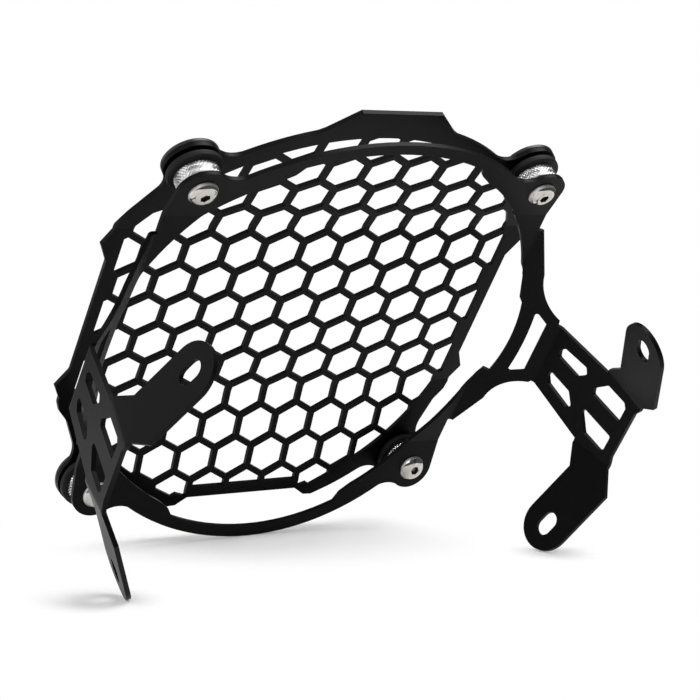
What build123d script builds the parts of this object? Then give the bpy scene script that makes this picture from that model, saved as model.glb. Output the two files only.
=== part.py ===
from build123d import *
from math import cos, radians, sin, sqrt, tan
import os

os.makedirs("parts", exist_ok=True)

# A motorcycle headlight guard: a hexagon-mesh grille folded from one sheet, held off a
# folded ring bracket by four screws with spacers. The ring goes round the lamp and its
# two arms reach back to the lamp's fixings.
# X = 0 is the plane of symmetry, +Z is up, +Y points back at the lamp and -Y is forward.
# The origin is the centre of the ring, on the rear face of its flat middle part.
# Both sheets are drawn flat, as seen from behind, with (0, 0) at the guard's centre.
# A flat pattern is measured on the rear face, where every fold is a sharp line.

# Sheets and folds
ring_sheet = 1.7
grille_sheet = 1.7
bend_radius = 1.5  # inside radius of every fold
panel_tilt = 13.6  # top and bottom panels of both sheets lean back by this angle
ring_fold = 55.8  # height of the fold across the ring, above and below the centre
side_fold = 78.6  # distance of the upright fold beside the ring from the centre
side_angle = 40.9
side_length = 22.4  # from the upright fold to the fold of the arm
arm_angle = 41.7

# Ring
ring_outer = 92.2
ring_inner = 87.6  # narrow stretches at the top and at the bottom
ring_wide_inner = 84.3  # wide stretches at the four corners
narrow_reach = 35.2  # half the width of a narrow stretch
step_reach = 6.3  # a step into the wide stretch is this long
ear_x = 68.0
ear_w = 67.8
ear_radius = 9.0
ear_flank = 77.5  # straight outer side of an ear, down to the upright fold
ear_from, ear_to = 129, 55  # degrees round the ear's own centre that its arc spans
neck_start = 54.3  # where the ring's outer circle ends beside an ear
neck_sag = 0.7  # the hollow beside an ear is this deep
jog_depth = 3.6  # below a narrow stretch's end, a third of the way along its step
side_inner_middle = 7.0  # inner edge beyond the upright fold, at middle height
side_inner_step = (5.1, 17.0)
fold_margin = 1.0  # edges cross a fold squarely for this far on either side

# Slot beside the ring, from the upright fold
side_slot = [(11.6, 14.7), (12.7, 15.2), (17.1, 12.4), (17.1, -10.8), (12.4, -13.7), (11.4, -13.2)]
side_slot_bulge = (12.3, 0.6)
slot_corner = 0.8

# Arm, from its own fold
arm_length = 46.5
arm_window_front = [(4.3, 6.2), (6.4, 8.7), (18.6, 9.9), (20.3, 7.8), (16.4, 3.7), (5.1, 3.7)]
arm_window_rear = [(25.7, 5.9), (31.0, 11.8), (40.5, 11.8), (42.1, 10.2), (42.1, 3.7), (26.5, 3.7)]
window_corner = 0.9

# Tabs at the end of an arm
tab_radius = 10.3
tab_slot_width = 6.5
tab_slot_length = 9.5

# Edges that differ above and below the middle line. Those of the flare are given from the
# upright fold, the others from the arm's fold.
upper = {
    "flare_start": 48.4,
    "flare_knee": (8.4, 31.0),
    "flare_waist": (12.6, 21.8),
    "flare_end": (21.1, 15.4),
    "inner_step": (3.4, 18.9),
    "arm_start": 13.7,
    "arm_edge": (27.6, 15.4),
    "root": (28.0, 16.3),
    "root_end": (47.9, 14.9),
    "rear_corner": 11.5,
    "tab_angle": 25.0,
    "tab_lean": 2.4,
    "tab_centre": (45.6, 46.0),
    "shoulders": (24.2, 22.4),
}
lower = {
    "flare_start": 45.0,
    "flare_knee": (7.9, 29.6),
    "flare_waist": (11.6, 20.6),
    "flare_end": (20.6, 14.6),
    "inner_step": (2.6, 16.9),
    "arm_start": 13.5,
    "arm_edge": (25.4, 16.2),
    "root": (28.7, 17.5),
    "root_end": (47.5, 13.6),
    "rear_corner": 10.0,
    "tab_angle": 25.4,
    "tab_lean": -0.6,
    "tab_centre": (45.1, 46.0),
    "shoulders": (25.0, 21.8),
}

# Grille
mesh_pitch = 15.5  # distance between the centres of neighbouring holes
mesh_hole = 13.2  # across the flats of a hole
mesh_radius = 86.0  # the mesh ends at this circle
mesh_side = 78.7  # and at these upright edges
mesh_bottom = 78.8
mesh_low_ends = [(24.5, -9.4), (24.5, 0.0), (30.2, 3.4), (37.2, -0.4)]  # from mesh_bottom
mesh_low_reach = 41.0  # the lowest holes of the mesh reach this far to either side
mesh_sill = 24.5  # half the width of the plain bottom between them
fold_row = 3  # the folds cross this row of holes, counted from the middle
fold_below_row = 2.05  # distance of a fold from the middle of that row
grille_outer = 92.0
grille_side = 82.7
crest = [(16.0, 98.0), (25.5, 89.2)]
sill = [(23.5, 83.2), (28.0, 86.3), (31.6, 86.5)]
rim_gap = 2.4  # from the last of these points to the start of the outer circle, along X
rim_end = 50.5  # where the outer circle ends beside an ear
rim_sag = 1.3
grille_ear_radius = 10.0
grille_ear_start = (7.6, 6.4)  # inward and upward from the ear's centre
grille_ear_turn = (50, -40)  # degrees of the middle and of the end of the ear's arc
upper_waist, upper_shoulder = (75.6, 57.0), (81.0, 46.0)
lower_waist, lower_shoulder = (75.2, 55.0), (78.6, 47.0)
waist_hollow = 1.1
fold_shoulder = (1.1, 4.2)  # inward from the corner and above the fold
grille_corner = 83.5  # outer edge where a fold crosses it
bump_reach = 86.5
bump_height = 31.5
bump_end = 24.3

# Fasteners, from the rear to the front
screw_thread = 5.0
screw_length = 16.0
screw_hole = 5.5
screw_point = 0.6
head_across = 10.2
head_height = 2.75
head_shape = [(0.24, 1.0), (0.41, 0.62), (0.5, 0.1)]  # parts of its diameter and height
socket_across = 3.0
socket_depth = 1.6
spacer_across = 15.5
spacer_length = 5.8
spacer_chamfer = 0.4
washer_across = 19.6
washer_length = 2.6
washer_fillet = 0.5
collar_across = 15.0
collar_length = 1.15
bore_gap = 0.3
thread_gap = 0.1
nut_flange_across = 20.0
nut_flange = 1.9
flange_chamfer = 0.4
nut_twist = 20  # degrees from the screw's socket
nut_across = 8.0
nut_height = 5.0

# Places that follow from the sizes above
stack = ring_sheet + spacer_length + washer_length + collar_length
row_step = mesh_pitch * sqrt(3) / 2
grille_fold = fold_row * row_step - fold_below_row
lean_sin = sin(radians(panel_tilt))
lean_cos = cos(radians(panel_tilt))
grille_back = -(stack + (ring_fold - grille_fold) * lean_sin) / lean_cos
ear_reach = ear_w - ring_fold
grille_ear_w = grille_fold + ear_reach + (ring_fold - grille_fold) * lean_cos - grille_back * lean_sin
arm_fold = side_fold + side_length
mesh_reach = 6  # rows and columns of holes that are tried on either side of the middle
far = 400.0  # larger than the whole pattern


def setback(angle):
    """Distance from a fold's sharp line to where its curve begins."""
    return bend_radius * tan(radians(angle) / 2)


def on_circle(radius, x):
    """Point of a circle about the centre, above it, at a given x."""
    return (x, sqrt(radius**2 - x**2))


def round_point(centre, radius, degrees):
    """Point of a circle about any centre."""
    return (centre[0] + radius * cos(radians(degrees)), centre[1] + radius * sin(radians(degrees)))


def left_of(start, end, distance):
    """All of the flat pattern that lies left of a line, at least a distance away."""
    along = (Vector(*end) - Vector(*start)).normalized()
    left = Vector(-along.Y, along.X)
    near = Vector(*start) + left * distance
    corners = [near - along * far, near + along * far]
    corners += [corners[1] + left * far, corners[0] + left * far]
    with BuildSketch() as half:
        Polygon(*corners, align=None)
    return half.sketch


def fold_plane(parent, start, end, angle):
    """Plane of the panel left of a fold line, turned back about that line.

    The flat pattern keeps its own coordinates on the plane of every panel.
    """
    hinge = parent.from_local_coords(Vector(*start))
    axis = Axis(hinge, parent.from_local_coords(Vector(*end)) - hinge)
    return Plane(
        origin=hinge + (parent.origin - hinge).rotate(axis, -angle),
        x_dir=parent.x_dir.rotate(axis, -angle),
        z_dir=parent.z_dir.rotate(axis, -angle),
    )


def panel(flat, plane, regions):
    """The stretch of a flat pattern that lies in every region, put on a panel's plane."""
    with BuildSketch(plane) as placed:
        add(flat)
        for region in regions:
            add(region, mode=Mode.INTERSECT)
    return placed.sketch


def curve_profile(plane, angle, sheet):
    """Section of the sheet along a fold, from one panel's end to the other's beginning."""
    outside = bend_radius + sheet
    centre = (-setback(angle), -bend_radius)
    with BuildSketch(plane) as section:
        with BuildLine():
            CenterArc(centre, bend_radius, 90, -angle)
            CenterArc(centre, outside, 90, -angle)
            Line(
                round_point(centre, bend_radius, 90 - angle),
                round_point(centre, outside, 90 - angle),
            )
            Line((centre[0], 0), (centre[0], sheet))
        make_face()
    return section.sketch


def curves(flat, parent, start, end, angle, sheet):
    """Sections and lengths of all curved strips that a fold line makes in a sheet."""
    along = (Vector(*end) - Vector(*start)).normalized()
    edge = setback(angle)
    band = panel(flat, Plane.XY, [left_of(start, end, -edge), left_of(end, start, -edge)])
    hinge = parent.from_local_coords(Vector(*start))
    axis = (parent.from_local_coords(Vector(*end)) - hinge).normalized()
    across = parent.z_dir.cross(axis)
    strips = []
    for strip in band.faces():
        reach = [(Vector(v.X, v.Y) - Vector(*start)).dot(along) for v in strip.vertices()]
        first = hinge + axis * min(reach)
        plane = Plane(origin=first, x_dir=across, z_dir=axis)
        strips.append((curve_profile(plane, angle, sheet), max(reach) - min(reach)))
    return strips


def ring_half(edge):
    """Flat pattern of the bracket above its middle line, on the side of +X."""
    outer_neck = on_circle(ring_outer, neck_start)
    ear_left = round_point((ear_x, ear_w), ear_radius, ear_from)
    ear_top = round_point((ear_x, ear_w), ear_radius, ear_to)
    neck = ((outer_neck[0] + ear_left[0]) / 2, min(outer_neck[1], ear_left[1]) - neck_sag)
    start = edge["flare_start"]
    lean = radians(edge["tab_lean"])
    axis = Vector(sin(lean), cos(lean))
    across = Vector(cos(lean), -sin(lean))
    root = Vector(*edge["root"]) + Vector(arm_fold, 0)
    root_end = Vector(*edge["root_end"]) + Vector(arm_fold, 0)
    root_line = (root_end - root).normalized()
    square = Vector(-root_line.Y, root_line.X) * fold_margin
    centre = Vector(*edge["tab_centre"]) + Vector(arm_fold, 0)
    left_end = centre - across * tab_radius
    right_end = centre + across * tab_radius
    left_shoulder = left_end - axis * ((left_end.Y - edge["shoulders"][0]) / axis.Y)
    right_shoulder = right_end - axis * ((right_end.Y - edge["shoulders"][1]) / axis.Y)
    wide = on_circle(ring_wide_inner, narrow_reach + step_reach)
    at_fold = (sqrt(ring_wide_inner**2 - ring_fold**2), ring_fold)
    inner_end = on_circle(ring_wide_inner, side_fold - fold_margin)
    inner_middle = on_circle(ring_wide_inner, (at_fold[0] + inner_end[0]) / 2)
    with BuildSketch() as half:
        with BuildLine():
            ThreePointArc((0, ring_outer), on_circle(ring_outer, neck_start / 2), outer_neck)
            ThreePointArc(outer_neck, neck, ear_left)
            ThreePointArc(ear_left, ear_top, (ear_x + ear_radius, ear_w))
            Polyline(
                (ear_x + ear_radius, ear_w),
                (ear_flank, ring_fold + fold_margin),
                (ear_flank, start),
                (side_fold + fold_margin, start),
                (side_fold + edge["flare_knee"][0], edge["flare_knee"][1]),
            )
            ThreePointArc(
                (side_fold + edge["flare_knee"][0], edge["flare_knee"][1]),
                (side_fold + edge["flare_waist"][0], edge["flare_waist"][1]),
                (side_fold + edge["flare_end"][0], edge["flare_end"][1]),
            )
            Polyline(
                (side_fold + edge["flare_end"][0], edge["flare_end"][1]),
                (arm_fold - fold_margin, edge["arm_start"]),
                (arm_fold + fold_margin, edge["arm_start"]),
                (arm_fold + edge["arm_edge"][0], edge["arm_edge"][1]),
                root - square,
                root + square,
                left_shoulder,
                left_end,
            )
            ThreePointArc(left_end, centre + axis * tab_radius, right_end)
            Polyline(
                right_end,
                right_shoulder,
                root_end + square,
                root_end - square,
                (arm_fold + arm_length, edge["rear_corner"]),
                (arm_fold + arm_length, 0),
                (side_fold + side_inner_middle, 0),
            )
            step = (side_fold + side_inner_step[0], side_inner_step[1])
            quarter = side_inner_middle - (side_inner_middle - side_inner_step[0]) / 4
            ThreePointArc(
                (side_fold + side_inner_middle, 0),
                (side_fold + quarter, side_inner_step[1] / 2),
                step,
            )
            Polyline(
                step,
                (side_fold + edge["inner_step"][0], edge["inner_step"][1]),
                (side_fold + fold_margin, inner_end[1]),
                inner_end,
            )
            ThreePointArc(inner_end, inner_middle, at_fold)
            ThreePointArc(at_fold, on_circle(ring_wide_inner, (at_fold[0] + wide[0]) / 2), wide)
            jog = (narrow_reach + step_reach / 3, on_circle(ring_inner, narrow_reach)[1] - jog_depth)
            Polyline(wide, jog, on_circle(ring_inner, narrow_reach))
            ThreePointArc(
                on_circle(ring_inner, narrow_reach),
                on_circle(ring_inner, narrow_reach / 2),
                (0, ring_inner),
            )
            Line((0, ring_inner), (0, ring_outer))
        make_face()
        with Locations((ear_x, ear_w)):
            Circle(screw_hole / 2, mode=Mode.SUBTRACT)
        with Locations(Location((centre.X, centre.Y, 0), (0, 0, 90 - edge["tab_lean"]))):
            SlotOverall(tab_slot_length, tab_slot_width, mode=Mode.SUBTRACT)
        for window in (arm_window_front, arm_window_rear):
            with BuildSketch(mode=Mode.SUBTRACT):
                with BuildLine():
                    Polyline(*[(arm_fold + x, w) for x, w in window], close=True)
                make_face()
                fillet(vertices(), radius=window_corner)
    return half.sketch


def bracket_flat():
    """Flat pattern of the bracket on the side of +X."""
    with BuildSketch() as flat:
        add(ring_half(upper))
        add(mirror(ring_half(lower), about=Plane.XZ, mode=Mode.PRIVATE))
        with BuildSketch(mode=Mode.SUBTRACT):
            with BuildLine():
                points = [(side_fold + x, w) for x, w in side_slot]
                bulge = (side_fold + side_slot_bulge[0], side_slot_bulge[1])
                Polyline(*points)
                ThreePointArc(points[-1], bulge, points[0])
            make_face()
            fillet(vertices(), radius=slot_corner)
    return flat.sketch


def bracket_solids(flat):
    """Sections to extrude for the bracket's panels and folds on the side of +X."""
    middle = Plane(origin=(0, 0, 0), x_dir=(1, 0, 0), z_dir=(0, -1, 0))
    tilt_gap = setback(panel_tilt)
    side_gap = setback(side_angle)
    arm_gap = setback(arm_angle)
    top = ((0, ring_fold), (1, ring_fold))
    bottom = ((1, -ring_fold), (0, -ring_fold))
    side = ((side_fold, 1), (side_fold, 0))
    arm = ((arm_fold, 1), (arm_fold, 0))
    tabs = []
    for edge, up in ((upper, 1), (lower, -1)):
        ends = [(arm_fold + x, up * w) for x, w in (edge["root"], edge["root_end"])]
        tabs.append((ends if up == 1 else ends[::-1], edge["tab_angle"]))
    side_plane = fold_plane(middle, *side, side_angle)
    arm_plane = fold_plane(side_plane, *arm, arm_angle)
    beside = left_of(*side, -side_gap)
    inside_side = left_of(*side[::-1], side_gap)
    past_side = left_of(*side, side_gap)
    before_arm = left_of(*arm[::-1], arm_gap)
    past_arm = left_of(*arm, arm_gap)
    low = left_of(*top[::-1], tilt_gap)
    high = left_of(*bottom[::-1], tilt_gap)
    short_of_tabs = [left_of(*line[::-1], setback(angle)) for line, angle in tabs]
    pieces = [
        (panel(flat, middle, [inside_side, low, high]), ring_sheet),
        (panel(flat, side_plane, [past_side, before_arm]), ring_sheet),
        (panel(flat, arm_plane, [past_arm] + short_of_tabs), ring_sheet),
    ]
    crossed = panel(flat, Plane.XY, [inside_side])
    for line in (top, bottom):
        tilted = fold_plane(middle, *line, panel_tilt)
        pieces.append((panel(flat, tilted, [inside_side, left_of(*line, tilt_gap)]), ring_sheet))
        pieces += curves(crossed, middle, *line, panel_tilt, ring_sheet)
    pieces += curves(flat, middle, *side, side_angle, ring_sheet)
    pieces += curves(panel(flat, Plane.XY, [beside]), side_plane, *arm, arm_angle, ring_sheet)
    for line, angle in tabs:
        tab_plane = fold_plane(arm_plane, *line, angle)
        beyond = [past_arm, left_of(*line, setback(angle))]
        pieces.append((panel(flat, tab_plane, beyond), ring_sheet))
        pieces += curves(panel(flat, Plane.XY, [past_arm]), arm_plane, *line, angle, ring_sheet)
    return pieces


def mesh_holes():
    """All holes of the mesh, cut off by the plain rim that goes round it."""
    with BuildSketch() as holes:
        for row in range(-mesh_reach, mesh_reach + 1):
            shift = (row % 2) / 2
            for column in range(-mesh_reach, mesh_reach + 1):
                x = (column + shift) * mesh_pitch
                w = row * row_step
                inside = sqrt(x**2 + w**2) < mesh_radius + mesh_pitch / 4
                if inside and abs(x) < mesh_side + mesh_pitch / 4:
                    with Locations((x, w)):
                        RegularPolygon(mesh_hole / 2, 6, major_radius=False, rotation=30)
        with BuildSketch(mode=Mode.INTERSECT):
            Circle(mesh_radius)
            for side in (-1, 1):
                with BuildLine():
                    points = [(x, mesh_bottom + lower) for x, lower in mesh_low_ends]
                    points.append(on_circle(mesh_radius, mesh_low_reach))
                    Polyline(*[(side * x, -w) for x, w in points], close=True)
                make_face()
            Rectangle(2 * mesh_side, 2 * far, mode=Mode.INTERSECT)
            with Locations((0, -mesh_bottom)):
                Rectangle(2 * mesh_sill, far, align=(Align.CENTER, Align.MAX), mode=Mode.SUBTRACT)
    return holes.sketch


def grille_edge(shoulder, waist):
    """Points of the grille's outer edge from the ear down to its straight side."""
    return [
        waist,
        shoulder,
        (grille_corner - fold_shoulder[0], grille_fold + fold_shoulder[1]),
        (grille_corner, grille_fold + fold_margin),
        (grille_corner, grille_fold - fold_margin),
        (bump_reach, bump_height),
        (grille_side, bump_end),
        (grille_side, 0),
    ]


def grille_half(shoulder, waist, top):
    """Flat pattern of the grille's plain shape above its middle line, on the side of +X."""
    ear = (ear_x, grille_ear_w)
    ear_left = (ear[0] - grille_ear_start[0], ear[1] + grille_ear_start[1])
    ear_middle, ear_end = [round_point(ear, grille_ear_radius, turn) for turn in grille_ear_turn]
    rim_start = on_circle(grille_outer, top[-1][0] + rim_gap)
    rim_last = on_circle(grille_outer, rim_end)
    neck = ((rim_last[0] + ear_left[0]) / 2, min(rim_last[1], ear_left[1]) - rim_sag)
    with BuildSketch() as half:
        with BuildLine():
            Polyline((0, 0), (0, top[0][1]), *top, rim_start)
            ThreePointArc(rim_start, on_circle(grille_outer, (rim_start[0] + rim_end) / 2), rim_last)
            ThreePointArc(rim_last, neck, ear_left)
            ThreePointArc(ear_left, ear_middle, ear_end)
            ThreePointArc(ear_end, (waist[0] - waist_hollow, (ear_end[1] + waist[1]) / 2), waist)
            Polyline(*grille_edge(shoulder, waist), (0, 0))
        make_face()
        with Locations(ear):
            Circle(screw_hole / 2, mode=Mode.SUBTRACT)
    return half.sketch


def grille_flat():
    """Flat pattern of the whole grille."""
    with BuildSketch() as flat:
        add(grille_half(upper_shoulder, upper_waist, crest))
        add(mirror(grille_half(lower_shoulder, lower_waist, sill), about=Plane.XZ, mode=Mode.PRIVATE))
        mirror(about=Plane.YZ)
        add(mesh_holes(), mode=Mode.SUBTRACT)
    return flat.sketch


def grille_solids(flat):
    """Sections to extrude for the grille's three panels and for the bars across its folds."""
    middle = Plane(origin=(0, grille_back, 0), x_dir=(1, 0, 0), z_dir=(0, -1, 0))
    top = ((0, grille_fold), (1, grille_fold))
    bottom = ((1, -grille_fold), (0, -grille_fold))
    gap = setback(panel_tilt)
    between = [left_of(*top[::-1], gap), left_of(*bottom[::-1], gap)]
    pieces = [(panel(flat, middle, between), grille_sheet)]
    for line in (top, bottom):
        tilted = fold_plane(middle, *line, panel_tilt)
        pieces.append((panel(flat, tilted, [left_of(*line, gap)]), grille_sheet))
        pieces += curves(flat, middle, *line, panel_tilt, grille_sheet)
    return pieces


bracket_sections = bracket_solids(bracket_flat())
grille_sections = grille_solids(grille_flat())

with BuildPart() as mounting_ring:
    for section, depth in bracket_sections:
        extrude(section, amount=depth)
    mirror(about=Plane.YZ)

mounting_ring.part.label = "mounting_ring"
export_step(mounting_ring.part, "parts/mounting_ring.step")

with BuildPart() as front_grille:
    for section, depth in grille_sections:
        extrude(section, amount=depth)

front_grille.part.label = "front_grille"
export_step(front_grille.part, "parts/front_grille.step")

# The four screw axes, each from the rear face of the ring's ear and pointing forward. Left
# and right are the rider's, and the last value is how far the screw was turned.
ear_back = ear_reach * lean_sin
ear_height = ring_fold + ear_reach * lean_cos
corners = {
    "upper_left": (1, 1, 12),
    "upper_right": (-1, 1, 41),
    "lower_left": (1, -1, 27),
    "lower_right": (-1, -1, 3),
}

for place, (side, up, turn) in corners.items():
    seat = Plane(
        origin=(side * ear_x, ear_back, up * ear_height),
        x_dir=(1, 0, 0),
        z_dir=(0, -lean_cos, up * lean_sin),
    )
    section_plane = Plane(origin=seat.origin, x_dir=seat.x_dir, z_dir=-seat.y_dir)
    screw_axis = Axis(seat.origin, seat.z_dir)

    with BuildPart() as screw:
        with BuildSketch(section_plane):
            with BuildLine():
                crown, brow, rim = [(head_across * x, -head_height * y) for x, y in head_shape]
                Line((0, -head_height), crown)
                ThreePointArc(crown, brow, rim)
                Polyline(
                    rim,
                    (head_across / 2, 0),
                    (screw_thread / 2, 0),
                    (screw_thread / 2, screw_length - screw_point),
                    (screw_thread / 2 - screw_point, screw_length),
                    (0, screw_length),
                    (0, -head_height),
                )
            make_face()
        revolve(axis=screw_axis)
        with BuildSketch(seat.offset(-head_height)):
            RegularPolygon(socket_across / 2, 6, major_radius=False, rotation=turn)
        extrude(amount=socket_depth, mode=Mode.SUBTRACT)
    screw.part.label = f"screw_{place}"
    export_step(screw.part, f"parts/screw_{place}.step")

    with BuildPart() as spacer:
        with BuildSketch(seat.offset(ring_sheet)):
            Circle(spacer_across / 2)
            Circle((screw_thread + bore_gap) / 2, mode=Mode.SUBTRACT)
        extrude(amount=spacer_length)
        rims = spacer.edges().filter_by(GeomType.CIRCLE).sort_by(SortBy.RADIUS)[-2:]
        chamfer(rims, length=spacer_chamfer)
    spacer.part.label = f"spacer_{place}"
    export_step(spacer.part, f"parts/spacer_{place}.step")

    with BuildPart() as washer:
        washer_start = ring_sheet + spacer_length
        with BuildSketch(seat.offset(washer_start)):
            Circle(washer_across / 2)
        extrude(amount=washer_length)
        fillet(washer.edges().filter_by(GeomType.CIRCLE), radius=washer_fillet)
        with BuildSketch(seat.offset(washer_start + washer_length)):
            Circle(collar_across / 2)
        extrude(amount=collar_length)
        with BuildSketch(seat.offset(washer_start)):
            Circle((screw_thread + bore_gap) / 2)
        extrude(amount=washer_length + collar_length, mode=Mode.SUBTRACT)
    washer.part.label = f"rubber_washer_{place}"
    export_step(washer.part, f"parts/rubber_washer_{place}.step")

    with BuildPart() as nut:
        nut_start = stack + grille_sheet
        with BuildSketch(seat.offset(nut_start)):
            Circle(nut_flange_across / 2)
        extrude(amount=nut_flange)
        chamfer(nut.edges().filter_by(GeomType.CIRCLE), length=flange_chamfer)
        with BuildSketch(seat.offset(nut_start + nut_flange)):
            RegularPolygon(nut_across / 2, 6, major_radius=False, rotation=turn + nut_twist)
        extrude(amount=nut_height - nut_flange)
        with BuildSketch(seat.offset(nut_start)):
            Circle((screw_thread + thread_gap) / 2)
        extrude(amount=nut_height, mode=Mode.SUBTRACT)
    nut.part.label = f"flange_nut_{place}"
    export_step(nut.part, f"parts/flange_nut_{place}.step")
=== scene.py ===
import bmesh
import bpy
import numpy as np
from mathutils import Matrix, Vector


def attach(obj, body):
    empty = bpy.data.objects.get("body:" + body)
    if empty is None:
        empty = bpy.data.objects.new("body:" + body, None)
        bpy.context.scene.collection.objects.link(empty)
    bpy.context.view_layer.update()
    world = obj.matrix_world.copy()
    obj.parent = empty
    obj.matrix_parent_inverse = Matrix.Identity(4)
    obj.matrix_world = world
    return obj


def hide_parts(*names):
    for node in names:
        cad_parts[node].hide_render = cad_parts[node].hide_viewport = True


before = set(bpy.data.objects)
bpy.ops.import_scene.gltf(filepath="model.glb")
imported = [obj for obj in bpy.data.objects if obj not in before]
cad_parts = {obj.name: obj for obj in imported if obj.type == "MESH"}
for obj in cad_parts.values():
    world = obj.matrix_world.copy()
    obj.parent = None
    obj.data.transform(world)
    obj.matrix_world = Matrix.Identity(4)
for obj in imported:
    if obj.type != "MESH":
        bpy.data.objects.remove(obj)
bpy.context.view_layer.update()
print("frame loaded:", len(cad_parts), "nodes")

corners = ("upper_left", "upper_right", "lower_left", "lower_right")


# Node wiring: a Wire is one socket, and plain arithmetic on it adds Math nodes.

class Wire:
    def __init__(self, board, socket):
        self.board = board
        self.socket = socket

    def combined(self, operation, first, second):
        return self.board.add("ShaderNodeMath", {"operation": operation}, {0: first, 1: second})

    def __add__(self, other):
        return self.combined("ADD", self, other)

    def __radd__(self, other):
        return self.combined("ADD", other, self)

    def __sub__(self, other):
        return self.combined("SUBTRACT", self, other)

    def __rsub__(self, other):
        return self.combined("SUBTRACT", other, self)

    def __mul__(self, other):
        return self.combined("MULTIPLY", self, other)

    def __rmul__(self, other):
        return self.combined("MULTIPLY", other, self)

    def power(self, exponent):
        return self.combined("POWER", self, exponent)

    def larger(self, other):
        return self.combined("MAXIMUM", self, other)

    def smaller(self, other):
        return self.combined("MINIMUM", self, other)

    def risen(self, start, end):
        # 0 below the start, 1 above the end, and a soft step between them.
        values = {"Value": self, "From Min": start, "From Max": end}
        return self.board.add("ShaderNodeMapRange", {"interpolation_type": "SMOOTHSTEP"}, values)


class Board:
    def __init__(self, tree):
        self.tree = tree
        self.tree.nodes.clear()

    def add(self, kind, settings=None, values=None, out=0):
        node = self.tree.nodes.new(kind)
        for key, value in (settings or {}).items():
            setattr(node, key, value)
        for key, value in (values or {}).items():
            if isinstance(value, Wire):
                self.tree.links.new(value.socket, node.inputs[key])
            else:
                node.inputs[key].default_value = value
        return Wire(self, node.outputs[out]) if node.outputs else node

    def place(self):
        return self.add("ShaderNodeTexCoord", out="Object")

    def vector(self, operation, first, second=(0.0, 0.0, 0.0)):
        second = second if isinstance(second, Wire) else tuple(second)
        out = "Value" if operation in ("LENGTH", "DOT_PRODUCT") else "Vector"
        return self.add("ShaderNodeVectorMath", {"operation": operation}, {0: first, 1: second}, out)

    def noise(self, where, scale, detail):
        values = {"Vector": where, "Scale": scale, "Detail": detail}
        return self.add("ShaderNodeTexNoise", {}, values)

    def blend(self, factor, first, second):
        settings = {"data_type": "RGBA"}
        return self.add("ShaderNodeMix", settings, {0: factor, 6: first, 7: second}, 2)

    def bump(self, height, strength, distance):
        values = {"Height": height, "Strength": strength, "Distance": distance}
        return self.add("ShaderNodeBump", {}, values)


def newBoard(name):
    material = bpy.data.materials.new(name)
    material.use_nodes = True
    return material, Board(material.node_tree)


def dressed(board, values):
    shader = board.add("ShaderNodeBsdfPrincipled", {}, values)
    board.add("ShaderNodeOutputMaterial", {}, {"Surface": shader})


def grey(level):
    return (level, level, level, 1.0)


# Black powder coat: a fine orange peel, with the gloss wandering a little over the sheet.
coatLook = {
    "dark": (0.0016, 0.0016, 0.0017, 1.0),
    "light": (0.0032, 0.0031, 0.0031, 1.0),
    "cloudScale": 45.0,       # per metre
    "cloudDetail": 3.0,
    "peelScale": 900.0,
    "peelDetail": 2.0,
    "peelShare": 0.75,        # of the bump, and the rest is grain
    "grainScale": 3600.0,
    "grainDetail": 1.0,
    "roughness": 0.40,
    "roughnessSpread": 0.12,
    "specular": 0.08,
    "bumpStrength": 0.16,
    "bumpDepth": 0.00006,
}


def powderCoat(name, look):
    material, board = newBoard(name)
    where = board.place()
    cloud = board.noise(where, look["cloudScale"], look["cloudDetail"])
    peel = board.noise(where, look["peelScale"], look["peelDetail"])
    grain = board.noise(where, look["grainScale"], look["grainDetail"])
    height = peel * look["peelShare"] + grain * (1 - look["peelShare"])
    dressed(board, {
        "Base Color": board.blend(cloud, look["dark"], look["light"]),
        "Roughness": look["roughness"] + (cloud * 0.5 + peel * 0.5 - 0.5) * look["roughnessSpread"],
        "Specular IOR Level": look["specular"],
        "Normal": board.bump(height, look["bumpStrength"], look["bumpDepth"]),
    })
    return material


ringCoat = powderCoat("ring_powder_coat", coatLook)
grilleCoat = powderCoat("grille_powder_coat", coatLook)

# Folded sheets: a merged copy of the solid whose sharp edges get the radius that a coat builds up.
sheetLook = {
    "mergeDistance": 0.000002,
    "flatAngle": 0.004,        # radians between facets that are one flat face
    "edgeRadius": 0.00026,
    "edgeSteps": 2,
    "edgeAngle": 0.72,         # radians, so the folds and round outlines stay unbroken
    "smoothAngle": 0.60,
}

# Inner edge beside the upright folds: it is drawn on across each fold, where the solid ends square.
foldFill = {
    "foldX": 0.078041,        # where the curve begins
    "square": 0.032935,       # height at which the solid's inner edge meets the fold
    "curveRear": 0.0015,      # radius of the curve's rear and of its middle
    "curveMiddle": 0.00235,
    "angle": 0.71384,
    "margin": 0.000441,       # straight stretch on each side of the curve
    "upper": 0.0052,          # how far the edge comes down across the fold
    "lower": 0.0102,
    "lowerLead": 0.0018,      # and how much of that comes before the fold, below
    "leadStart": 0.046,
    "innerRadius": 0.0843,
    "sheet": 0.0017,          # thickness
    "foldRear": 0.0008,       # how far back the fold's end reaches
    "shareSlack": 0.001,
    "slack": 0.0001,
    "onEdge": 0.00004,        # how near the edge its points lie
}


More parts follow.
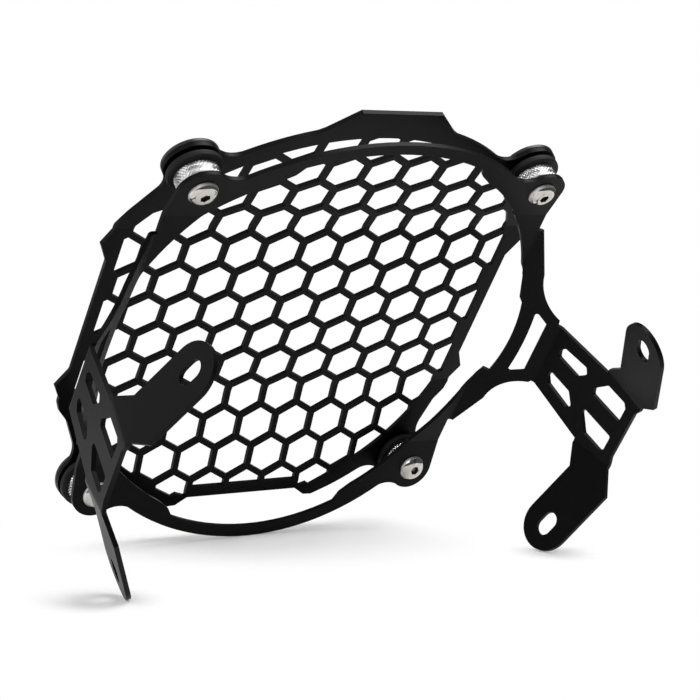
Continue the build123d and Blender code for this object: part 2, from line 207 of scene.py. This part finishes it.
def edgeDrawnOn(points, look):
    # Way across the fold: the straight stretch before it, the arc along its middle, the one after it.
    depth, height = points[:, 1], points[:, 2]
    x, y = np.abs(points[:, 0]) - look["foldX"], look["curveRear"] - depth
    arc = np.clip(np.arctan2(x, np.maximum(y, 1e-6)), 0.0, look["angle"])
    after = np.maximum(0.0, x * np.cos(look["angle"]) - y * np.sin(look["angle"]))
    way = np.minimum(x, 0.0) + arc * look["curveMiddle"] + after
    share = (way + look["margin"]) / (look["angle"] * look["curveMiddle"] + 2 * look["margin"])
    end = np.abs(np.abs(height) - look["square"]) < look["onEdge"]
    end &= (share > -look["shareSlack"]) & (share < 1 + look["shareSlack"])
    behindFront = depth > -look["sheet"] - look["slack"]
    end &= behindFront & (depth < look["foldRear"])
    moved = np.where(end, share * np.where(height > 0, look["upper"], look["lower"]), 0.0)
    # Below, the edge before the fold leaves its circle by an amount that grows from nought.
    circle = np.abs(np.hypot(points[:, 0], height) - look["innerRadius"]) < look["onEdge"]
    flat = behindFront & (depth < look["slack"])
    flat &= (height < 0) & (np.abs(height) > look["square"] - look["slack"])
    lead = (look["leadStart"] - np.abs(height)) / (look["leadStart"] - look["square"])
    grows = np.where((circle & flat) | (end & (height < 0)), np.clip(lead, 0.0, 1.0), 0.0)
    print("edge points drawn on:", int(end.sum()), "and led in:", int((grows > 0).sum()))
    points[:, 2] -= np.sign(height) * (moved + grows * look["lowerLead"])
    return points


def coatedSheet(node, name, material, look, fill=None):
    shape = bmesh.new()
    shape.from_mesh(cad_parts[node].data)
    bmesh.ops.remove_doubles(shape, verts=shape.verts, dist=look["mergeDistance"])
    bmesh.ops.dissolve_limit(
        shape, angle_limit=look["flatAngle"], verts=shape.verts, edges=shape.edges)
    if fill:
        points = edgeDrawnOn(np.array([vert.co[:] for vert in shape.verts]), fill)
        for vert, place in zip(shape.verts, points.tolist()):
            vert.co = place
    mesh = bpy.data.meshes.new(name)
    shape.to_mesh(mesh)
    shape.free()
    for layer in ("custom_normal", "sharp_edge", "sharp_face"):
        if layer in mesh.attributes:
            mesh.attributes.remove(mesh.attributes[layer])
    mesh.materials.clear()
    piece = dressedPiece(mesh, name, node, material, look["smoothAngle"])
    rounding = piece.modifiers.new("coat build-up", "BEVEL")
    rounding.width = look["edgeRadius"]
    rounding.segments = look["edgeSteps"]
    rounding.limit_method = "ANGLE"
    rounding.angle_limit = look["edgeAngle"]
    rounding.harden_normals = True


def dressedPiece(mesh, name, node, material, smoothAngle):
    mesh.polygons.foreach_set("use_smooth", np.ones(len(mesh.polygons), bool))
    mesh.set_sharp_from_angle(angle=smoothAngle)
    mesh.materials.append(material)
    piece = bpy.data.objects.new(name, mesh)
    bpy.context.scene.collection.objects.link(piece)
    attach(piece, "root")
    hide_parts(node)
    return piece


coatedSheet("mounting_ring", "folded_ring", ringCoat, sheetLook, foldFill)
coatedSheet("front_grille", "folded_grille", grilleCoat, sheetLook)
print("folded sheets made")


# Turned pieces: each stands on the axis of its own solid, read from the frame.

def pointsOf(node):
    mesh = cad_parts[node].data
    points = np.zeros(len(mesh.vertices) * 3)
    mesh.vertices.foreach_get("co", points)
    return points.reshape(-1, 3)


def axisOf(node):
    # The axis is the short direction of the spacer's points, pointing to the rear.
    points = pointsOf(node)
    middle = (points.min(0) + points.max(0)) / 2
    axis = np.linalg.svd(points - points.mean(0))[2][2]
    return middle, axis * np.sign(axis[1])


def sideAndUp(axis):
    side = np.cross(axis, (0.0, 0.0, 1.0))
    side = side / np.linalg.norm(side)
    return side, np.cross(side, axis)


def measured(node, middle, axis):
    # Lowest and highest place along the axis, and the largest and smallest distance from it.
    offset = pointsOf(node) - middle
    along = offset @ axis
    away = np.linalg.norm(offset - np.outer(along, axis), axis=1)
    found = {"low": along.min(), "high": along.max(), "outer": away.max(), "inner": away.min()}
    return {key: float(value) for key, value in found.items()}


def cornerTurn(node, middle, axis, reach, low, high):
    # Turn of the farthest point from the axis in a band along it, inside a reach.
    offset = pointsOf(node) - middle
    along = offset @ axis
    side, up = sideAndUp(axis)
    away = np.linalg.norm(offset - np.outer(along, axis), axis=1)
    away = np.where((along > low) & (along < high) & (away < reach), away, 0.0)
    corner = offset[np.argmax(away)]
    return np.arctan2(corner @ up, corner @ side)


def hexReach(turn, flat):
    # Distance from the axis to a hexagon of that half width across its flats.
    sixth = np.pi / 3
    return flat / np.cos((turn + sixth / 2) % sixth - sixth / 2)


def fullTurn(columns):
    return np.linspace(0.0, 2 * np.pi, columns, endpoint=False)


def turned(middle, axis, radius, along, turn):
    # A point is the middle, plus the axis times its place along it, plus its radius times a circle.
    side, up = sideAndUp(axis)
    circle = np.cos(turn)[..., None] * side + np.sin(turn)[..., None] * up
    return middle + along[..., None] * axis + radius[..., None] * circle


def turnedRows(middle, axis, rows, turn):
    # Each row holds the radius and the place along the axis, one number for each column or for all.
    radius = np.array([away * np.ones_like(turn) for away, place in rows])
    along = np.array([place * np.ones_like(turn) for away, place in rows])
    return turned(middle, axis, radius, along, np.repeat(turn[None, :], len(rows), axis=0))


def gridPiece(name, points, node, material, smoothAngle, ringClosed=True):
    # Rows run along the profile and columns round the axis; each cell of the grid is one face.
    rows, columns = points.shape[:2]
    index = np.arange(rows * columns).reshape(rows, columns)
    if ringClosed:
        index = np.vstack((index, index[:1]))
    across = np.roll(index, -1, axis=1)
    faces = np.stack((index[:-1], across[:-1], across[1:], index[1:]), axis=-1).reshape(-1, 4)
    mesh = bpy.data.meshes.new(name)
    mesh.from_pydata(points.reshape(-1, 3).tolist(), [], faces.tolist())
    shape = bmesh.new()
    shape.from_mesh(mesh)
    bmesh.ops.remove_doubles(shape, verts=shape.verts, dist=1e-7)   # closes the rows on the axis
    bmesh.ops.recalc_face_normals(shape, faces=shape.faces)
    shape.to_mesh(mesh)
    shape.free()
    dressedPiece(mesh, name, node, material, smoothAngle)


# Metal finishes: a cloudy colour, and fine tool marks in the gloss.

def metalFinish(board, look):
    where = board.place()
    cloud = board.noise(where, look["cloudScale"], look["cloudDetail"])
    marks = board.noise(where, look["markScale"], look["markDetail"])
    return {
        "Base Color": board.blend(cloud, look["dark"], look["light"]),
        "Metallic": look["metallic"],
        "Roughness": look["roughness"] + (marks - 0.5) * look["roughnessSpread"],
        "Normal": board.bump(marks, look["bumpStrength"], look["bumpDepth"]),
    }


def plainMetal(name, look):
    material, board = newBoard(name)
    dressed(board, metalFinish(board, look))
    return material


# Spacer: bright aluminium, where two families of crossing V grooves leave rows of small pyramids.
aluminiumLook = {
    "dark": (0.62, 0.615, 0.62, 1.0),
    "light": (0.92, 0.915, 0.92, 1.0),
    "metallic": 1.0,
    "cloudScale": 500.0,
    "cloudDetail": 3.0,
    "markScale": 4200.0,
    "markDetail": 2.0,
    "roughness": 0.24,
    "roughnessSpread": 0.14,
    "bumpStrength": 0.10,
    "bumpDepth": 0.00001,
}
spacerShape = {
    "columns": 320,
    "boreRows": 6,
    "faceRows": 3,
    "rimRows": 2,
    "wallRows": 34,
    "grooves": 40,            # round the wall, in each family
    "lean": 1.0,              # tangent of the groove's angle to the axis
    "grooveDepth": 0.00030,
    "rim": 0.0005,
    "smoothAngle": 0.5,
}

spacerMetal = plainMetal("knurled_aluminium", aluminiumLook)


def profileRows(stations, steps):
    # Straight runs between stations (radius, along), each cut into its own number of steps.
    runs = [np.linspace(start, end, count, endpoint=False)
            for start, end, count in zip(stations[:-1], stations[1:], steps)]
    rows = np.vstack(runs + [np.array(stations[-1:])])
    return rows[:, 0], rows[:, 1]


def knurledSpacer(corner, look):
    node = "spacer_" + corner
    middle, axis = axisOf(node)
    size = measured(node, middle, axis)
    low, high, outer, inner = size["low"], size["high"], size["outer"], size["inner"]
    rim = look["rim"]
    stations = [(inner, low), (inner, high), (outer - rim, high), (outer, high - rim),
                (outer, low + rim), (outer - rim, low)]
    steps = [look[key] for key in ("boreRows", "faceRows", "rimRows", "wallRows", "rimRows")]
    radius, along = profileRows(stations, steps)
    along, turn = np.meshgrid(along, fullTurn(look["columns"]), indexing="ij")
    radius = np.repeat(radius[:, None], look["columns"], axis=1)
    # A groove's depth falls in a straight line from its middle to the ridge on each side.
    slope = look["lean"] * look["grooves"] * along / outer
    first = np.abs(((look["grooves"] * turn + slope) / (2 * np.pi)) % 1.0 * 2 - 1)
    second = np.abs(((look["grooves"] * turn - slope) / (2 * np.pi)) % 1.0 * 2 - 1)
    onWall = radius > outer - rim / 2
    radius = radius - onWall * look["grooveDepth"] * np.maximum(first, second)
    points = turned(middle, axis, radius, along, turn)
    gridPiece("knurled_spacer_" + corner, points, node, spacerMetal,
              look["smoothAngle"])


# Washer: matt moulded rubber with a fine grain, a soft disc with a collar on its front.
rubberLook = {
    "dark": (0.0042, 0.0042, 0.0044, 1.0),
    "light": (0.0095, 0.0095, 0.0095, 1.0),
    "cloudScale": 260.0,
    "cloudDetail": 4.0,
    "grainScale": 3000.0,
    "grainDetail": 2.0,
    "roughness": 0.62,
    "roughnessSpread": 0.14,
    "specular": 0.22,
    "bumpStrength": 0.22,
    "bumpDepth": 0.00004,
}
washerShape = {
    "columns": 144,
    "disc": 0.0026,           # thickness
    "rim": 0.0007,
    "rimRows": 6,
    "wallRows": 8,
    "partingLine": 0.00007,   # height of the line that the mould leaves, and its half width
    "partingWidth": 0.00012,
    "boreChamfer": 0.0001,
    "faceShare": 0.7,         # of the hub's radius, where the rear face has one more row
    "collarRadius": 0.0075,
    "collarRim": 0.0002,
    "filletOut": 0.0002,
    "filletForward": 0.0001,
    "smoothAngle": 0.9,
}


def mouldedRubber(name, look):
    material, board = newBoard(name)
    where = board.place()
    cloud = board.noise(where, look["cloudScale"], look["cloudDetail"])
    grain = board.noise(where, look["grainScale"], look["grainDetail"])
    dressed(board, {
        "Base Color": board.blend(cloud, look["dark"], look["light"]),
        "Roughness": look["roughness"] + (cloud - 0.5) * look["roughnessSpread"],
        "Specular IOR Level": look["specular"],
        "Normal": board.bump(grain, look["bumpStrength"], look["bumpDepth"]),
    })
    return material


washerRubber = mouldedRubber("moulded_rubber", rubberLook)


def rubberWasher(corner, look):
    node = "rubber_washer_" + corner
    middle, axis = axisOf("spacer_" + corner)
    size = measured(node, middle, axis)
    low, high, inner = size["low"], size["high"], size["inner"]
    rim, chamfer, collar = look["rim"], look["boreChamfer"], look["collarRadius"]
    front = high - look["disc"]
    # Each rim is a quarter of a circle, and the parting line a narrow hill half way up the wall.
    bend = np.linspace(0.0, np.pi / 2, look["rimRows"])
    hub = size["outer"] - look["partingLine"] - rim
    rearRim = np.stack((hub + rim * np.sin(bend), high - rim * (1 - np.cos(bend))), 1)
    frontRim = np.stack((hub + rim * np.cos(bend), front + rim * (1 - np.sin(bend))), 1)
    share = np.linspace(-1.0, 1.0, look["wallRows"] * 2 + 1)[1:-1]
    half = look["disc"] / 2 - rim
    hill = look["partingLine"] * np.exp(-(share * half / look["partingWidth"]) ** 2)
    wall = np.stack((hub + rim + hill, front + look["disc"] / 2 - share * half), 1)
    boreRows = [(inner + chamfer, low), (inner, low + chamfer), (inner, high - chamfer),
                (inner + chamfer, high), (hub * look["faceShare"], high)]
    collarRows = [(collar + look["filletOut"], front), (collar, front - look["filletForward"]),
                  (collar, low + look["collarRim"]), (collar - look["collarRim"], low)]
    rows = np.vstack((boreRows, rearRim, wall, frontRim, collarRows))
    points = turnedRows(middle, axis, rows, fullTurn(look["columns"]))
    gridPiece("rubber_washer_disc_" + corner, points, node, washerRubber,
              look["smoothAngle"])


# Nut: dark plating over a hexagon with a chamfered front, on a broad round flange.
nutLook = {
    "dark": (0.012, 0.012, 0.013, 1.0),
    "light": (0.030, 0.030, 0.031, 1.0),
    "metallic": 0.35,
    "cloudScale": 400.0,
    "cloudDetail": 3.0,
    "markScale": 3800.0,
    "markDetail": 2.0,
    "roughness": 0.36,
    "roughnessSpread": 0.16,
    "bumpStrength": 0.10,
    "bumpDepth": 0.00002,
}
nutShape = {
    "columns": 180,
    "cornerReach": 0.006,     # the solid's corners are looked for inside this radius
    "cornerBand": 0.001,      # and this near its front
    "flat": 0.0040,           # half the width across its flats
    "boreChamfer": 0.0003,
    "crown": 0.0037,          # radius of the flat front
    "crownSlope": 1.75,       # the chamfer goes out this much for each step back
    "chamferRows": 7,
    "flange": 0.0019,
    "flangeFall": 0.0005,     # the flange is thinner at its rim
    "flangeRows": (0.12, 0.5, 1.0),
    "rim": 0.0003,
    "fillet": 0.0004,
    "softShare": 0.3,         # of a fillet or a rim, which places its middle row
    "smoothAngle": 0.45,
}

nutPlate = plainMetal("black_plated_nut", nutLook)


def flangeNut(corner, look):
    node = "flange_nut_" + corner
    middle, axis = axisOf("spacer_" + corner)
    size = measured(node, middle, axis)
    low, high, outer, bore = size["low"], size["high"], size["outer"], size["inner"]
    turn = fullTurn(look["columns"])
    band = look["cornerBand"]
    start = cornerTurn(node, middle, axis, look["cornerReach"], low - band, low + band)
    hexagon = hexReach(turn - start + np.pi / 6, look["flat"])
    chamfer, fillet, soft = look["boreChamfer"], look["fillet"], look["softShare"]
    step = high - look["flange"]
    rows = [(bore + chamfer, high), (bore, high - chamfer), (bore, low + chamfer),
            (bore + chamfer, low), (look["crown"], low)]
    # The chamfer is a cone that cuts the six corners: the radius is the smaller of cone and hexagon.
    reach = hexagon.max() - look["crown"]
    for share in np.linspace(0.0, 1.0, look["chamferRows"])[1:]:
        back = reach * share / look["crownSlope"]
        rows.append((np.minimum(hexagon, look["crown"] + reach * share), low + back))
    rows += [(hexagon, step - fillet), (hexagon + fillet * soft, step - fillet * soft)]
    rim = outer - look["rim"]
    rows += [(hexagon + (rim - hexagon) * share, step + look["flangeFall"] * share)
             for share in look["flangeRows"]]
    edge = step + look["flangeFall"]
    rows += [(outer - look["rim"] * soft, edge + look["rim"] * soft), (outer, edge + look["rim"]),
             (outer, high - look["rim"]), (rim, high)]
    points = turnedRows(middle, axis, rows, turn)
    gridPiece("hexagon_flange_nut_" + corner, points, node, nutPlate,
              look["smoothAngle"])


# Screw: stainless steel, a domed head with a hexagon socket, and a shank with a helical thread.
steelLook = {
    "dark": (0.50, 0.475, 0.44, 1.0),
    "light": (0.66, 0.635, 0.60, 1.0),
    "metallic": 1.0,
    "cloudScale": 700.0,
    "cloudDetail": 3.0,
    "markScale": 5200.0,
    "markDetail": 2.0,
    "roughness": 0.13,
    "roughnessSpread": 0.10,
    "bumpStrength": 0.06,
    "bumpDepth": 0.00001,
    "socket": (0.15, 0.14, 0.13, 1.0),    # painted shade down in the hexagon socket
    "socketShadeShare": 0.4,                   # of the socket's depth, where the painted shade is full
    "socketShadeEdge": (1.2, 1.3),             # times the half width across its flats, where the painted shade fades out
    "rim": (0.95, 0.94, 0.92, 1.0),       # painted highlight on the head's edge, which is also satin
    "rimRoughness": 0.55,
    "rimEdge": (0.91, 0.96),              # times the head's radius, where the painted highlight and the rougher satin begin
}
screwShape = {
    "columns": 96,
    "headHeight": 0.00275,
    "headEdge": 0.00045,
    "edgeChamfer": 0.0001,
    "crown": 0.0023,          # radius of the flat round the socket
    "crownEdge": 1.04,        # and how much farther its last row goes
    "crownRows": (0.4, 1.0),
    "domeAngle": 1.12,
    "domeStart": 0.06,        # share of the angle at the dome's first row
    "domeRows": 18,
    "socketFlat": 0.0015,
    "socketDepth": 0.0016,
    "socketChamfer": 0.00014,
    "socketRows": (0.05, 0.5, 1.0),
    "point": 0.0004,          # depth of the cone under the socket
    "pointRows": (0.35, 0.7, 0.97),
    "cornerReach": 0.0020,    # where the solid's socket corners are looked for
    "cornerSlack": 0.0001,
    "shankRadius": 0.0025,
    "threadPitch": 0.0008,
    "threadDepth": 0.00042,
    "threadRows": 10,         # grid rows in each pitch
    "threadCut": 1.15,        # above 1, the thread's root is flat
    "runOut": 0.0012,         # length over which the thread ends under the head
    "endChamfer": 0.0006,
    "endFall": 0.0005,
    "endRadius": 0.0018,
    "endGap": 0.00005,
    "smoothAngle": 0.55,
}


def screwMetal(name, look, shape):
    material, board = newBoard(name)
    values = metalFinish(board, look)
    middle, axis = axisOf("spacer_upper_left")
    size = measured("screw_upper_left", middle, axis)
    # The screws are mirror images, so sides and heights count without their signs.
    where = board.place()
    sides = board.vector("ABSOLUTE", board.vector("MULTIPLY", where, (1.0, 0.0, 1.0)))
    folded = board.vector("ADD", sides, board.vector("MULTIPLY", where, (0.0, 1.0, 0.0)))
    offset = board.vector("SUBTRACT", folded, middle)
    depth = size["high"] - board.vector("DOT_PRODUCT", offset, axis)
    away = board.vector("LENGTH", board.vector("CROSS_PRODUCT", offset, axis))
    # Painted shade: the colour darkens down into the hexagon socket, and not beyond its flats.
    outside = away.risen(*(shape["socketFlat"] * share for share in look["socketShadeEdge"]))
    socket = depth.risen(0.0, shape["socketDepth"] * look["socketShadeShare"]) * (1 - outside)
    # Painted highlight: the head's edge is lighter in colour; its greater roughness is the real
    # satin.
    rim = away.risen(*(size["outer"] * share for share in look["rimEdge"]))
    metal = board.blend(rim, values["Base Color"], look["rim"])
    values["Base Color"] = board.blend(socket, metal, look["socket"])
    values["Roughness"] = values["Roughness"] + rim * (look["rimRoughness"] - look["roughness"])
    dressed(board, values)
    return material


screwSteel = screwMetal("stainless_steel", steelLook, screwShape)


def headRows(look, top, head, socket):
    # From the cone under the socket, up its walls and over the crown and the dome, down to the shank.
    chamfer, soft = look["socketChamfer"], look["edgeChamfer"]
    seat = top - look["headHeight"]
    edge = seat + look["headEdge"]
    floor = top - look["socketDepth"]
    rows = [(0.0, floor - look["point"])]
    rows += [(socket * share, floor - look["point"] * (1 - share)) for share in look["pointRows"]]
    rows += [(socket, floor + (top - chamfer - floor) * share) for share in look["socketRows"]]
    rim = socket + chamfer
    rows += [(rim, top)]
    rows += [(rim + (look["crown"] * look["crownEdge"] - rim) * share, top)
             for share in look["crownRows"]]
    # The dome is an arc: the radius follows the sine of its angle and the height the cosine.
    bend = np.linspace(look["domeStart"], 1.0, look["domeRows"]) * look["domeAngle"]
    domeRadius = look["crown"] + (head - look["crown"]) * np.sin(bend) / np.sin(look["domeAngle"])
    fall = (1 - np.cos(bend)) / (1 - np.cos(look["domeAngle"]))
    rows += list(zip(domeRadius, top - (top - edge) * fall))
    return rows + [(head, edge - soft), (head, seat + soft), (head - soft, seat),
                   (look["shankRadius"] + soft, seat)]


def threadRows(look, seat, end, turn):
    # The thread's radius is a triangle wave of the place along the axis less the part of a turn made.
    rows = []
    count = int(round((seat - end) / look["threadPitch"] * look["threadRows"]))
    for along in np.linspace(seat, end + look["endGap"], count):
        wave = np.abs(((along / look["threadPitch"] - turn / (2 * np.pi)) % 1.0) * 2 - 1)
        taper = np.clip((along - end) / look["endChamfer"], 0.0, 1.0)
        cut = np.minimum(1.0, wave * look["threadCut"])
        cut = cut * np.clip((seat - along) / look["runOut"], 0.0, 1.0)
        radius = look["shankRadius"] - look["threadDepth"] * cut
        rows.append((np.minimum(radius, look["shankRadius"] - look["endFall"] * (1 - taper)), along))
    return rows + [(look["endRadius"], end), (0.0, end)]


def buttonScrew(corner, look):
    node = "screw_" + corner
    middle, axis = axisOf("spacer_" + corner)
    size = measured(node, middle, axis)
    top, slack = size["high"], look["cornerSlack"]
    turn = fullTurn(look["columns"])
    start = cornerTurn(node, middle, axis, look["cornerReach"],
                       top - look["socketDepth"] - slack, top + slack)
    socket = hexReach(turn - start + np.pi / 6, look["socketFlat"])
    rows = headRows(look, top, size["outer"], socket)
    rows += threadRows(look, top - look["headHeight"], size["low"], turn)
    points = turnedRows(middle, axis, rows, turn)
    gridPiece("button_screw_" + corner, points, node, screwSteel,
              look["smoothAngle"], False)


for corner in corners:
    knurledSpacer(corner, spacerShape)
    rubberWasher(corner, washerShape)
    flangeNut(corner, nutShape)
    buttonScrew(corner, screwShape)
print("fasteners made")


# Where it lies: on the lowest point of the ring and the two lower tab tips.
restingLook = {
    "tabsFrom": 0.045,        # points farther back than this belong to the tabs
    "steepest": 1.3,          # radians
    "halvings": 40,
    "touch": 0.0004,          # how near the floor a point is to touch it
}


def restingPlane(look):
    # The plane holds the X direction, and is tipped by halving until ring and tabs both touch it.
    points = np.vstack([pointsOf(name) for name in ("mounting_ring", "front_grille")])
    tabs = points[points[:, 1] > look["tabsFrom"]]
    front = points[points[:, 1] <= look["tabsFrom"]]
    low, high = 0.0, look["steepest"]
    for _ in range(look["halvings"]):
        slope = (low + high) / 2
        normal = np.array((0.0, -np.sin(slope), np.cos(slope)))
        if (tabs @ normal).min() > (front @ normal).min():
            low = slope
        else:
            high = slope
    level = (points @ normal).min()
    leftTabs = tabs[tabs[:, 0] > 0]
    touching = [group[group @ normal < level + look["touch"]].mean(0) for group in (leftTabs, front)]
    return normal, level, touching


floorNormal, floorLevel, (tabContact, ringContact) = restingPlane(restingLook)
print("floor normal", floorNormal, "contacts", tabContact, ringContact)

# Camera: where the photograph was taken from, in the object's own frame.
cameraLook = {
    "place": (0.37175531, 0.45526587, 0.40976944),
    "right": (-0.84487250, 0.42463019, 0.32539156),
    "up": (-0.03900221, -0.65551830, 0.75417146),
    "lens": 103.19,
    "sensor": 36.0,
    "clip": (0.01, 50.0),
}


def buildCamera(look):
    right = Vector(look["right"]).normalized()
    up = Vector(look["up"])
    up = (up - right * up.dot(right)).normalized()
    data = bpy.data.cameras.new("camera")
    data.lens = look["lens"]
    data.sensor_width = look["sensor"]
    data.clip_start, data.clip_end = look["clip"]
    camera = bpy.data.objects.new("camera", data)
    bpy.context.scene.collection.objects.link(camera)
    turn = Matrix((right, up, right.cross(up))).transposed().to_4x4()
    camera.matrix_world = Matrix.Translation(look["place"]) @ turn
    bpy.context.scene.camera = camera


def pointAbove(x, y, height):
    # A place over the floor: x to the object's side, y along the floor's rise.
    rise = np.array((0.0, floorNormal[2], -floorNormal[1]))
    return Vector(np.array((1.0, 0.0, 0.0)) * x + rise * y + floorNormal * (height + floorLevel))


def levelled(direction):
    # A direction laid level with the floor.
    direction = direction - floorNormal * (direction @ floorNormal)
    return direction / np.linalg.norm(direction)


# Studio: a pale floor and room, which the camera sees as white. The metal mirrors white in the floor
# round the object and in the backdrop ahead, and a dimmer room elsewhere.
lookRight = levelled(np.array(cameraLook["right"]))
lookAhead = levelled(np.cross(cameraLook["up"], cameraLook["right"]))

studioLook = {
    "floorShade": 0.90,
    "floorSize": 1.3,
    "whiteShare": 0.15,       # plain white in the floor under the object, and the rest takes shadow
    "whiteStart": 0.25,       # share of a shadow's half size where the floor begins to turn white
    "mirrorStart": (0.03, 0.22),  # distances over which the floor seen in the metal turns white
    "mirrorEnd": (0.28, 0.55),    # and over which it turns dull again, but for the backdrop
    "ambient": 0.30,
    "mirroredRoom": 0.10,     # what the metal mirrors beside the floor and the backdrop
    "backdrop": (0.90, 0.97),     # cosines of the angles ahead over which the backdrop begins
}

# Shadows: the place that touches the floor, steps from it to the shadow's middle, and its half sizes.
# Steps and sizes go to the right and ahead, as the camera stands.
# Inside a patch the floor shows the lamps' real shadow, and is a little grey even where none falls, a
# faint painted shadow; outside the patches it is plain white.
shadows = (
    {"at": ringContact, "step": (0.000, 0.000), "half": (0.095, 0.062)},
    {"at": tabContact, "step": (-0.009, -0.001), "half": (0.025, 0.021)},
    {"at": tabContact * (-1.0, 1.0, 1.0), "step": (0.008, -0.002), "half": (0.024, 0.016)},
)


def rayKinds(board):
    # Rays that leave the camera or pass through clear things, and rays that a surface mirrors.
    straight = board.add("ShaderNodeLightPath", out="Is Camera Ray").larger(
        board.add("ShaderNodeLightPath", out="Is Transmission Ray"))
    return straight, board.add("ShaderNodeLightPath", out="Is Glossy Ray")


def outsideShadows(board, where):
    # Distance from each shadow's middle in its own half sizes, and the least of them.
    nearest = None
    for shadow in shadows:
        middle = shadow["at"] + lookRight * shadow["step"][0] + lookAhead * shadow["step"][1]
        gap = board.vector("SUBTRACT", where, middle)
        across = board.vector("DOT_PRODUCT", gap, lookRight / shadow["half"][0])
        deep = board.vector("DOT_PRODUCT", gap, lookAhead / shadow["half"][1])
        reach = (across * across + deep * deep).power(0.5)
        nearest = reach if nearest is None else nearest.smaller(reach)
    return nearest


def buildFloor(look):
    mesh = bpy.data.meshes.new("floor")
    half = look["floorSize"] / 2
    spots = [pointAbove(x, y, 0.0)
             for x, y in ((-half, -half), (half, -half), (half, half), (-half, half))]
    mesh.from_pydata([tuple(spot) for spot in spots], [], [(0, 1, 2, 3)])
    material, board = newBoard("pale_floor")
    straight, mirrored = rayKinds(board)
    where = board.place()
    away = board.vector("SUBTRACT", where, ringContact)
    distance = board.vector("LENGTH", away)
    ahead = board.vector("DOT_PRODUCT", board.vector("NORMALIZE", away), lookAhead)
    # Painted shadow in part: inside the patches the floor is lit paper that shows real shadow but is
    # a little grey where none falls; outside them it is plain white.
    plain = outsideShadows(board, where).risen(look["whiteStart"], 1.0)
    seen = look["whiteShare"] + plain * (1 - look["whiteShare"])
    near = distance.risen(*look["mirrorStart"])
    far = 1 - distance.risen(*look["mirrorEnd"])
    backdrop = ahead.risen(*look["backdrop"])
    share = (seen * straight).larger(mirrored * near * backdrop.larger(far))
    paper = board.add("ShaderNodeBsdfDiffuse", {}, {"Color": grey(look["floorShade"])})
    white = board.add("ShaderNodeEmission", {}, {"Color": grey(1.0), "Strength": 1.0})
    top = board.add("ShaderNodeMixShader", {}, {0: share, 1: paper, 2: white})
    clear = board.add("ShaderNodeBsdfTransparent")
    under = board.add("ShaderNodeNewGeometry", out="Backfacing")
    surface = board.add("ShaderNodeMixShader", {}, {0: under, 1: top, 2: clear})
    board.add("ShaderNodeOutputMaterial", {}, {"Surface": surface})
    mesh.materials.append(material)
    floor = bpy.data.objects.new("floor", mesh)
    bpy.context.scene.collection.objects.link(floor)


def buildWorld(look):
    world = bpy.data.worlds.new("studio")
    bpy.context.scene.world = world
    world.use_nodes = True
    board = Board(world.node_tree)
    straight, mirrored = rayKinds(board)
    way = board.add("ShaderNodeTexCoord", out="Generated")
    backdrop = board.vector("DOT_PRODUCT", way, lookAhead).risen(*look["backdrop"])
    white = straight.larger(mirrored * backdrop)
    room = look["ambient"] + mirrored * (look["mirroredRoom"] - look["ambient"])
    strength = white + (1 - white) * room
    glow = board.add("ShaderNodeBackground", {}, {"Color": grey(1.0), "Strength": strength})
    board.add("ShaderNodeOutputWorld", {}, {"Surface": glow})


# Lamps: place over the floor (side, rise, height), the point aimed at, width, power.
lamps = {
    "key": {"at": (-0.36, 0.12, 0.92), "aim": (0.0, 0.05, 0.08), "width": 0.60, "power": 8.2},
    "fill": {"at": (0.62, 0.40, 0.72), "aim": (0.0, 0.05, 0.08), "width": 0.70, "power": 3.8},
    "back": {"at": (0.62, -0.60, 0.50), "aim": (0.0, 0.0, 0.08), "width": 1.10, "power": 3.2},
}


def buildLamps(table):
    for name, look in table.items():
        data = bpy.data.lights.new(name, "AREA")
        data.shape = "SQUARE"
        data.size = look["width"]
        data.energy = look["power"]
        lamp = bpy.data.objects.new(name, data)
        bpy.context.scene.collection.objects.link(lamp)
        lamp.location = pointAbove(*look["at"])
        aim = pointAbove(*look["aim"]) - lamp.location
        lamp.rotation_mode = "QUATERNION"
        lamp.rotation_quaternion = aim.to_track_quat("-Z", "Y")


buildFloor(studioLook)
buildWorld(studioLook)
buildLamps(lamps)
buildCamera(cameraLook)
bpy.context.scene.view_settings.view_transform = "Standard"
print("studio made")
